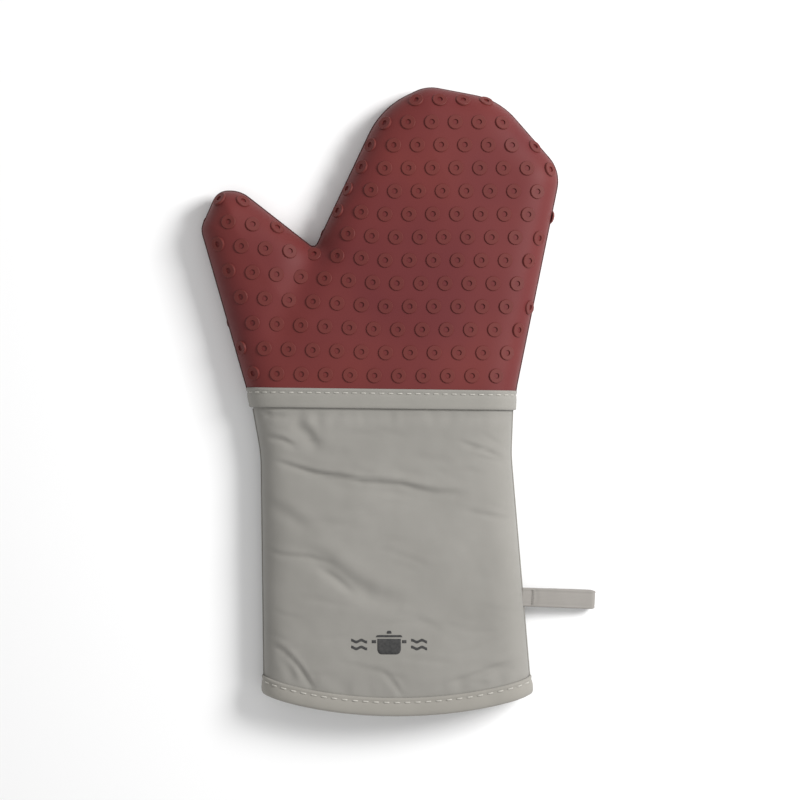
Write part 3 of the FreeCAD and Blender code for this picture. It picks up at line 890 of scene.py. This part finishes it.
def crease_height(creases):
    """A function that gives how far creases lower or raise the cloth at points of the net."""

    def height(everywhere):
        on_cuff = everywhere[:, 1] < BAND_LOW.y + 1 * MM
        points = everywhere[on_cuff]
        total = np.zeros(len(points))
        for line, deep, wide in creases:
            line = resampled(np.array(line) * MM, 4 * MM)
            wide = wide * MM
            apart, along = near_line(points, line)
            fade = np.sin(math.pi * np.clip(along, 0.02, 0.98)) ** 0.6
            above = points[:, 1] - np.interp(points[:, 0], line[:, 0], line[:, 1])
            ridge = hill(above - 1.7 * wide, 1.4 * wide) * hill(apart, 3.5 * wide)
            total += CREASE_DEPTH * deep * MM * (0.6 * ridge - hill(apart, wide)) * fade
        under = BAND_LOW.y - points[:, 1]
        above = points[:, 1] - hem_y(points[:, 0])
        # Broad unevenness, then the swelling and the pucker under the wrist band.
        total += 0.4 * MM * slow_noise(points, 24 * MM, 17.3)
        total += 0.14 * MM * slow_noise(points, 7 * MM, 41.9)
        total += 0.9 * MM * hill(under - 7 * MM, 5 * MM)
        pucker = 2.6 * MM + 0.6 * MM * slow_noise(points, 14 * MM, 2.2)
        total -= 0.7 * MM * hill(under - pucker, 1.1 * MM)
        # Short gathers, stretched along the cuff, beside the band and beside the binding.
        across = points * (1, 0.25)
        total += 0.5 * MM * slow_noise(across, 5 * MM, 6.6) * hill(under - 4 * MM, 5 * MM)
        total += 0.7 * MM * slow_noise(across, 6 * MM, 8.8) * hill(above - 14 * MM, 5 * MM)
        # Everything fades out under the tapes.
        total *= np.clip((under + 1 * MM) / (2 * MM), 0, 1)
        total *= np.clip((above - 9.5 * MM) / (3 * MM), 0, 1)
        result = np.zeros(len(everywhere))
        result[on_cuff] = total
        return result

    return height


CREASES = {
    "front": crease_height(FRONT_CREASES + small_creases(5, 44)),
    "back": crease_height(BACK_CREASES + small_creases(8, 30)),
}
print(f"drawn creases: {len(FRONT_CREASES)} on the front, {len(BACK_CREASES)} on the back")

# %% Cuff panels
CLOTH = 0.5 * MM
for half in HALVES:
    depths = CLOTH_DEPTH, CLOTH_DEPTH + CLOTH
    panel = layer_piece(f"cuff_{half}_cloth", CUFF, half, *depths, CREASES[half])
    dress(panel, CUFF_CLOTH, "mitt", "cuff_cotton", f"cuff_{half}")
    print(f"{half} panel: {len(panel.data.polygons)} faces")

# %% [markdown]
# ## Wadding and lining
# Under the silicone and the cloth lies a felt of wadding, and inside it the lining that the hand
# touches.  Both run from the hem to the fingertips.  They are the same net, lifted less.

# %% Wadding and lining
WADDING_DEPTHS = 1.95 * MM, 4.9 * MM
LINING_DEPTHS = 5.0 * MM, 6.0 * MM
pads, linings = {}, {}
for half in HALVES:
    pad = layer_piece(f"wadding_{half}_pad", WHOLE, half, *WADDING_DEPTHS, CREASES[half])
    pads[half] = dress(pad, WADDING, "mitt", "wadding", f"wadding_{half}")
    inner = layer_piece(f"lining_{half}_cloth", WHOLE, half, *LINING_DEPTHS, CREASES[half])
    linings[half] = dress(inner, LINING_CLOTH, "mitt", "lining_cotton", f"lining_{half}")
print("wadding and lining made")

# %% [markdown]
# ## Tapes round the wrist and the hem
# The wrist band is a folded tape, sewn round the mitt over the end of the silicone.  The binding is
# the same tape folded over the raw edges at the mouth.  Both are one section carried round the mitt:
# a list of offsets along the mitt and lifts off its face, closed into a ring.

# %% Tape helpers
TAPE_COLUMNS = 130


def round_the_mitt(height_at, offset, lift, wave=0.0):
    """One closed row of points round the mitt, at an offset from a line and a lift off the face."""
    turn = np.linspace(0, math.pi, TAPE_COLUMNS)
    guess = height_at(0) + offset
    left, right = side_x(guess)
    for _ in range(3):
        left, right = side_x(height_at(left) + offset)[0], side_x(height_at(right) + offset)[1]
    x = (left + right) / 2 - (right - left - 0.04 * MM) / 2 * np.cos(turn)
    points = np.column_stack([x, height_at(x) + offset])
    lift = lift + wave * slow_noise(points, 9 * MM, 31.0 + 40 * offset / MM)
    front = lifted(points, "front", -lift)
    back = lifted(points[::-1], "back", -lift[::-1])
    return np.concatenate([front, back])


def tape_piece(name, height_at, section, stitch_offset):
    """A tape whose closed section of offsets and lifts, in millimetres, is carried round the mitt."""
    rows = []
    for offset, lift in section:
        groove = 0.35 * math.exp(-(((offset - stitch_offset) / 0.8) ** 2)) if lift > -0.3 else 0
        rows.append(round_the_mitt(height_at, offset * MM, (lift - groove) * MM, 0.14 * MM))
    rows = np.array(rows)
    along = np.arange(rows.shape[1]) * 2.2 * MM
    uvs = [(a, i * 1.1 * MM) for i in range(len(rows)) for a in along]
    return rows_piece(name, rows, close_rows=True, uvs=uvs)


def wrist_line(x):
    """Height of the upper edge of the wrist band at x: it tilts a little down to the right."""
    return BAND_HIGH.y + 1.0 * MM - 0.012 * (np.asarray(x) + 10 * MM)


BAND = (BAND_HIGH.y - BAND_LOW.y) / MM
BAND_SECTION = [
    *[(0, -0.1), (-0.15, 0.55), (-0.7, 0.85), (-1.6, 0.8), (-2.5, 0.72), (-3.4, 0.8)],
    *[(-5, 0.9), (-7, 0.9), (-9, 0.85), (0.7 - BAND, 0.8), (0.15 - BAND, 0.45)],
    *[(-BAND, -0.9), (0.6 - BAND, -1.22), (-6, -1.25), (-1.4, -0.4)],
]
BINDING = 10.4
BINDING_SECTION = [
    *[(BINDING, -1.2), (BINDING, -0.35), (BINDING - 0.5, 0.0), (BINDING - 1.6, 0.05)],
    *[(BINDING - 2.5, 0.0), (BINDING - 3.4, 0.1), (5.5, 0.3), (3.5, 0.35), (1.6, 0.25)],
    *[(0.6, -0.2), (0.1, -1.2), (0, -3.6), (0.1, -6.1), (0.6, -7.0), (2, -7.3)],
    *[(BINDING - 1, -7.3), (BINDING - 0.4, -7.1), (BINDING - 0.4, -6.15), (4, -6.12)],
    *[(1.25, -6.1), (1.2, -3.6), (1.25, -1.3), (4, -1.22)],
]
print(f"tape sections: {len(BAND_SECTION)} and {len(BINDING_SECTION)} points")

# %% Wrist band and hem binding
STITCH_DOWN = 2.5  # how far below a tape's upper edge its stitching runs, in millimetres
band = tape_piece("wrist_band_tape", wrist_line, BAND_SECTION, -STITCH_DOWN)
dress(band, BAND_TAPE, "mitt", "band_tape", "wrist_band")
binding = tape_piece("hem_binding_tape", hem_y, BINDING_SECTION, BINDING - STITCH_DOWN)
dress(binding, HEM_TAPE, "mitt", "binding_tape", "hem_binding")
print("tapes:", len(band.data.polygons), "and", len(binding.data.polygons), "faces")

# %% [markdown]
# ## Stitches
# A stitch is a short thread that dives into the cloth at both ends.  The same small arched bead is
# set along every line of sewing, one to each pitch, with its length along the line.


# %% Stitch recipe
def stitch_mesh(length, radius):
    """One stitch: a thread that arches up in its middle and dips at its ends."""
    sides, steps = 6, 7
    angles = np.arange(sides) * 2 * math.pi / sides
    rows = []
    for share in np.linspace(-1, 1, steps):
        thick = radius * math.sqrt(max(0.06, 1 - share**6))
        over = radius * (0.35 - 1.3 * share**4) + 0.8 * thick * np.sin(angles)
        rows.append(np.column_stack([np.full(sides, share * length / 2), thick * np.cos(angles), over]))
    stitch = rows_piece("stitch_pattern", rows, close_rows=False)
    stitch.data.materials.append(THREAD)
    return stitch


def stitch_recipe():
    """Puts a copy of a stitch at every pitch along a line, flat on the cloth."""
    recipe = Recipe("stitches_on_line", {"Stitch": OBJECT, "Pitch": FLOAT})
    line = recipe.add("GeometryNodeMeshToCurve", {"Mesh": recipe.inputs["Geometry"]})
    links = {"Curve": line, "Length": recipe.inputs["Pitch"]}
    even = recipe.add("GeometryNodeResampleCurve", links, mode="LENGTH")
    links = {"Vector": recipe.add("GeometryNodeInputTangent")}
    along = recipe.add("FunctionNodeAlignRotationToVector", links, axis="X")
    links = {"Rotation": along, "Vector": recipe.up()}
    flat = recipe.add("FunctionNodeAlignRotationToVector", links, axis="Z", pivot_axis="X")
    recipe.finish(even, recipe.object_mesh("Stitch"), flat)
    return recipe


def face_line(height_at, offset, lift, half, margin):
    """A line along a tape on one face, with its upward directions."""
    row = round_the_mitt(height_at, offset, lift)
    higher = round_the_mitt(height_at, offset, lift + 1 * MM)
    part = slice(0, TAPE_COLUMNS) if half == "front" else slice(TAPE_COLUMNS, None)
    line, up = row[part], (higher - row)[part]
    low, high = line[:, 0].min() + margin, line[:, 0].max() - margin
    inner = (line[:, 0] > low) & (line[:, 0] < high)
    return line[inner], unit(up[inner])


def sewn(name, node, height_at, *sizes):
    """Stitches along a tape on both faces, as one piece.  Its sizes are all in millimetres:
    offset and lift of the line, margin at its ends, pitch, and a stitch's length and radius."""
    offset, lift, margin, pitch, length, radius = (size * MM for size in sizes)
    stitch = stitch_mesh(length, radius)
    points, ups, edges = [], [], []
    for half in HALVES:
        line, up = face_line(height_at, offset, lift, half, margin)
        start = len(points)
        edges += [(start + i, start + i + 1) for i in range(len(line) - 1)]
        points += line.tolist()
        ups += up.tolist()
    seeds = seed_points(f"{name}_line", points, edges, ups)
    result = run_recipe(sewing, name, seeds, {"Stitch": stitch, "Pitch": pitch}, THREAD)
    print(f"{name}: {len(result.data.polygons) // len(stitch.data.polygons)} stitches")
    bpy.data.objects.remove(stitch)
    return dress(result, THREAD, "mitt", "thread", node)


# %% Topstitching
sewing = stitch_recipe()
band_sizes = -STITCH_DOWN, 0.62, 2.5, 4.9, 3.3, 0.36
band_thread = sewn("wrist_band_stitches", "band_stitches", wrist_line, *band_sizes)
hem_sizes = BINDING - STITCH_DOWN, -0.1, 3, 5.6, 3.7, 0.46
hem_thread = sewn("hem_binding_stitches", "hem_stitches", hem_y, *hem_sizes)

# %% [markdown]
# ## Side seams of the cuff
# The two panels are sewn right side to right side and turned, which leaves a firm ridge down each
# side.  It is a thin cord just outside the cloth's edge.

# %% Side seams
seam_heights = np.arange(HEM_HIGH.y - 2 * MM, BAND_LOW.y + 2 * MM, 1.6 * MM)
seams = []
for side in (0, 1):
    flat_line = np.stack([side_x(seam_heights)[side], seam_heights], 1)
    line = lifted(flat_line, "front", CLOTH_DEPTH - 0.15 * MM)
    name = "cuff_side_seam_" + ("left", "right")[side]
    seams.append(dress(tube(name, line, 0.5 * MM), CUFF_CLOTH, "mitt", "thread", "cuff_side_seams"))
print("side seams:", ", ".join(seam.name for seam in seams))

# %% [markdown]
# ## The hanging loop
# The loop is one length of the tape, folded in two and sewn into the right side seam.  Its path is
# drawn from the side: out along the upper ply, round the fold, and back along the lower ply.  The
# tape's section is carried along it.  The long edges are thicker, where the tape is turned in.
# The root stays with the mitt and the rest swings, so the piece bends between the two bodies.

# %% Loop
HINGE = Vector((71.64, -110.81, 11.0)) * MM
LOOP_TURN = Matrix.Rotation(math.radians(-3), 3, "Z") @ Matrix.Rotation(math.radians(10.07), 3, "Y")
PLY = 0.62  # from the loop's middle plane to the middle of each ply at the root, in millimetres
OPEN = 2.35  # the same near the fold
FOLD_AT = 36.6  # where the tape starts to turn back
TAPE_TOP = [(5.25, 0), (5.1, 0.36), (4.7, 0.6), (4.2, 0.58), (3.75, 0.4), (3.2, 0.5), (1.6, 0.53)]
TAPE_SECTION = [
    *TAPE_TOP,
    (0, 0.5),
    *[(-v, w) for v, w in TAPE_TOP[::-1]],
    *[(-v, -w) for v, w in TAPE_TOP[1:]],
    (0, -0.5),
    *[(v, -w) for v, w in TAPE_TOP[:0:-1]],
]


def from_loop(points):
    """Points given along, across and over the loop, in millimetres, in the row frame."""
    return [HINGE + LOOP_TURN @ (Vector(point) * MM) for point in points]


def loop_path():
    """The tape's middle line from the side: along the upper ply, round the fold and back."""
    along = np.linspace(-3.5, FOLD_AT, 42)
    share = np.clip((along - 1) / 24, 0, 1)
    gap = PLY + (OPEN - PLY) * share**2 * (3 - 2 * share)
    turn = np.linspace(0, math.pi, 14)[1:-1]
    upper = np.stack([along, gap], 1)
    fold = np.stack([FOLD_AT + 2.3 * np.sin(turn), OPEN * np.cos(turn)], 1)
    return np.vstack([upper, fold, upper[::-1] * (1, -1)])


def loop_rows():
    """The tape's section at every point of its path."""
    path = loop_path()
    rows = []
    for (x, z), (dx, dz) in zip(path, unit(np.gradient(path, axis=0))):
        narrow = 1 - 0.05 * math.exp(-(((x - FOLD_AT - 2.3) / 0.9) ** 2))
        narrow += 0.012 * noise.noise(Vector((x / 6, math.copysign(1, z), 5)))
        row = []
        for v, w in TAPE_SECTION:
            bend = 0.26 * math.exp(-(((x - 5.2 + 0.05 * v**2) / 0.9) ** 2)) if w > 0 and z > 0 else 0
            w += 0.1 * noise.noise(Vector((x / 5, v / 4, 8 + math.copysign(1, z)))) - bend
            row.append((x - dz * w, v * narrow, z + dx * w))
        rows.append(from_loop(row))
    return np.array(rows)


loop_points = loop_rows()
loop_steps = np.arange(len(loop_points)) * 1.0 * MM
loop_uvs = [(a, i * 0.8 * MM) for a in loop_steps for i in range(len(TAPE_SECTION))]
loop = rows_piece("hanging_loop_tape", loop_points, close_rows=False, uvs=loop_uvs)
loop.data.materials.append(LOOP_TAPE)
bend_start, bend_end = from_loop([(-2, 0, 0), (1.9, 0, 0)])
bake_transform(loop, "mitt", "loop", bend_start, bend_end)
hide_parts("hanging_loop")
print(f"hanging loop: {len(loop.data.polygons)} faces")

# %% Bartack
TACK_BARS = 17
TACK_ENDS = 2.3, 4.3  # how far along the loop the bars start and end, in millimetres
TACK_WIDTH = 8.4
tack_path = from_loop(
    [
        (TACK_ENDS[i % 2], over * (i * TACK_WIDTH / (TACK_BARS - 1) - TACK_WIDTH / 2), over * (PLY + 0.62))
        for over in (1, -1)
        for i in range(TACK_BARS)
    ]
)
tack = tube("loop_bartack_thread", resampled(np.array(tack_path), 0.5 * MM), 0.2 * MM, 6)
dress(tack, TACK_THREAD, "loop", "thread", "loop_bartack")
print(f"bartack: {TACK_BARS} stitches on each face")

# %% [markdown]
# ## The printed sign
# A small sign is printed in dark ink low on the cuff: a plain cooking pot between two pairs of wavy
# lines.  Ink is a skin on the cloth, so each shape is a very thin patch that follows the cuff's face.

# %% Sign
SIGN_MIDDLE = Vector((-5.8, -134.5))
INK_DEPTHS = CLOTH_DEPTH - 0.14 * MM, CLOTH_DEPTH + 0.12 * MM  # its outer and its inner face


def ink_patch(left, right, low, high, columns):
    """A patch between two heights, which are functions of x, all in millimetres round the sign."""
    rows = 5
    x = np.linspace(left, right, columns)
    share = np.linspace(0, 1, rows)[:, None]
    y = low(x)[None] * (1 - share) + high(x)[None] * share
    flat = np.stack([np.broadcast_to(x, y.shape) + SIGN_MIDDLE.x, y + SIGN_MIDDLE.y], 2)
    flat = flat.reshape(-1, 2) * MM
    outer, inner = (lifted(flat, "front", depth, CREASES["front"]) for depth in INK_DEPTHS)
    count = len(flat)
    faces = []
    for i in range(rows - 1):
        for j in range(columns - 1):
            a = i * columns + j
            faces.append((a, a + 1, a + columns + 1, a + columns))
    rim = list(range(columns))
    rim += [i * columns + columns - 1 for i in range(1, rows)]
    rim += [(rows - 1) * columns + j for j in range(columns - 2, -1, -1)]
    rim += [i * columns for i in range(rows - 2, 0, -1)]
    under = [tuple(corner + count for corner in face[::-1]) for face in faces]
    walls = [(b, a, a + count, b + count) for a, b in zip(rim, rim[1:] + rim[:1])]
    return np.concatenate([outer, inner]), faces + under + walls


def level(height):
    """A flat edge at one height."""
    return lambda x: np.full(len(x), float(height))


def rounded(height, half_width, radius, over):
    """An edge at one height whose ends are rounded off, upwards or downwards."""

    def edge(x):
        past = np.clip(np.abs(x) - (half_width - radius), 0, radius)
        return height + over * (radius - np.sqrt(radius**2 - past**2))

    return edge


def wave(height):
    """A gently wavy edge."""
    return lambda x: height + 0.55 * np.sin(x * 2 * math.pi / 5.6)


sign_patches = [
    ink_patch(-6.5, 6.5, rounded(-6.4, 6.5, 2.6, 1), level(2.2), 27),
    ink_patch(-7.3, 7.3, level(3.1), rounded(4.3, 7.3, 1.0, -1), 27),
    ink_patch(-1.3, 1.3, level(5.1), rounded(6.7, 1.3, 0.8, -1), 7),
    ink_patch(-9.6, -7.2, level(-0.2), level(1.5), 6),
    ink_patch(7.2, 9.6, level(-0.2), level(1.5), 6),
]
for left, right in ((-21, -12.2), (12.2, 21)):
    for height in (-3.6, 0.2):
        sign_patches.append(ink_patch(left, right, wave(height), wave(height + 1.5), 19))
sign_points, sign_faces = [], []
for points, faces in sign_patches:
    start = len(sign_points)
    sign_points += points.tolist()
    sign_faces += [tuple(corner + start for corner in face) for face in faces]
sign = new_piece("cuff_printed_sign", sign_points, sign_faces)
dress(sign, INK, "mitt", "cuff_cotton")
print(f"printed sign: {len(sign_patches)} patches")

# %% [markdown]
# ## What the cloth was cut from
# The size of each sheet's flat cut is measured here.  Nothing is
# stretched here, so a cut is as long as the cloth is, measured over the face from seam to seam.


# %% Flat sizes
def over(half, depth, start, end):
    """The length of cloth over one face, between two points of the net."""
    return length_of(lifted(resampled(np.array([start, end]), 1 * MM), half, depth))


def across_cuff(half, depth, height):
    """The length of cloth over one face, from side to side at one height."""
    left, right = side_x(height)
    return over(half, depth, (left, height), (right, height))


HEM_LINE = HEM_LOW.y + BINDING * MM
THUMB_REACH_Y = SIDES[SIDES[:, 0].argmin(), 1]  # the height at which the thumb reaches furthest
FINGERTIP_X = 15 * MM
for half in HALVES:
    wide = across_cuff(half, CLOTH_DEPTH, HEM_LINE)
    long = over(half, CLOTH_DEPTH, (HEM_MIDDLE, hem_y(HEM_MIDDLE)), (HEM_MIDDLE, WRIST_Y))
    low, high = SIDES[:, 0].min(), SIDES[:, 0].max()
    wide = over(half, LINING_DEPTHS[0], (low, THUMB_REACH_Y), (high, THUMB_REACH_Y))
    top = FINGERTIP_X, SIDES[:, 1].max()
    long = over(half, LINING_DEPTHS[0], (FINGERTIP_X, hem_y(FINGERTIP_X)), top)
girth = sum(across_cuff(half, 0, 0) for half in HALVES)
mouth = sum(across_cuff(half, 0, HEM_LINE) for half in HALVES)

# %% [markdown]
# ## Camera, light and floor
# The mitt is seen from straight above, as it lies on a white table, with soft light from the right.

# %% Camera, lights and floor
LOOK_AT = Vector((0.2, 0, 14)) * MM
CAMERA_HEIGHT = 1.15
VIEW_WIDTH = 448.7 * MM
WORLD_LIGHT = 0.54
TABLE_REACH = 3.0
TABLE_Z = -0.1 * MM  # just under the lowest point of the mitt


def camera():
    """A long lens straight over the mitt, with +Y up in the picture."""
    data = bpy.data.cameras.new("camera")
    data.sensor_width = 36
    data.lens = data.sensor_width * (CAMERA_HEIGHT - LOOK_AT.z) / VIEW_WIDTH
    data.clip_start = 0.05
    eye = in_scene("camera", data)
    eye.location = LOOK_AT.x, LOOK_AT.y, CAMERA_HEIGHT
    bpy.context.scene.camera = eye


def area_light(name, place, size, watts):
    """A square soft light that points at the middle of the mitt."""
    data = bpy.data.lights.new(name, "AREA")
    data.size = size
    data.energy = watts
    lamp = in_scene(name, data)
    lamp.location = place
    lamp.rotation_euler = (LOOK_AT - Vector(place)).to_track_quat("-Z", "Y").to_euler()


camera()
area_light("key_light", (0.82, 0.36, 0.78), 0.45, 15.5)
area_light("fill_light", (0.2, -0.5, 1.35), 1.4, 2.5)
bpy.context.scene.view_settings.view_transform = "Standard"
world = bpy.data.worlds.new("studio")
world.use_nodes = True
background = world.node_tree.nodes["Background"]
background.inputs["Color"].default_value = (1, 1, 1, 1)
background.inputs["Strength"].default_value = WORLD_LIGHT
bpy.context.scene.world = world


def floor():
    """A large pale table top under the mitt."""
    corners = [(-1, -1), (1, -1), (1, 1), (-1, 1)]
    points = [(x * TABLE_REACH, y * TABLE_REACH, TABLE_Z) for x, y in corners]
    table = new_piece("table_top", points, [(0, 1, 2, 3)])
    paint = bpy.data.materials.new("table_paint")
    paint.use_nodes = True
    shader = paint.node_tree.nodes["Principled BSDF"]
    shader.inputs["Base Color"].default_value = (0.9, 0.9, 0.9, 1)
    shader.inputs["Roughness"].default_value = 0.9
    table.data.materials.append(paint)


floor()
print("lights:", len(bpy.data.lights))
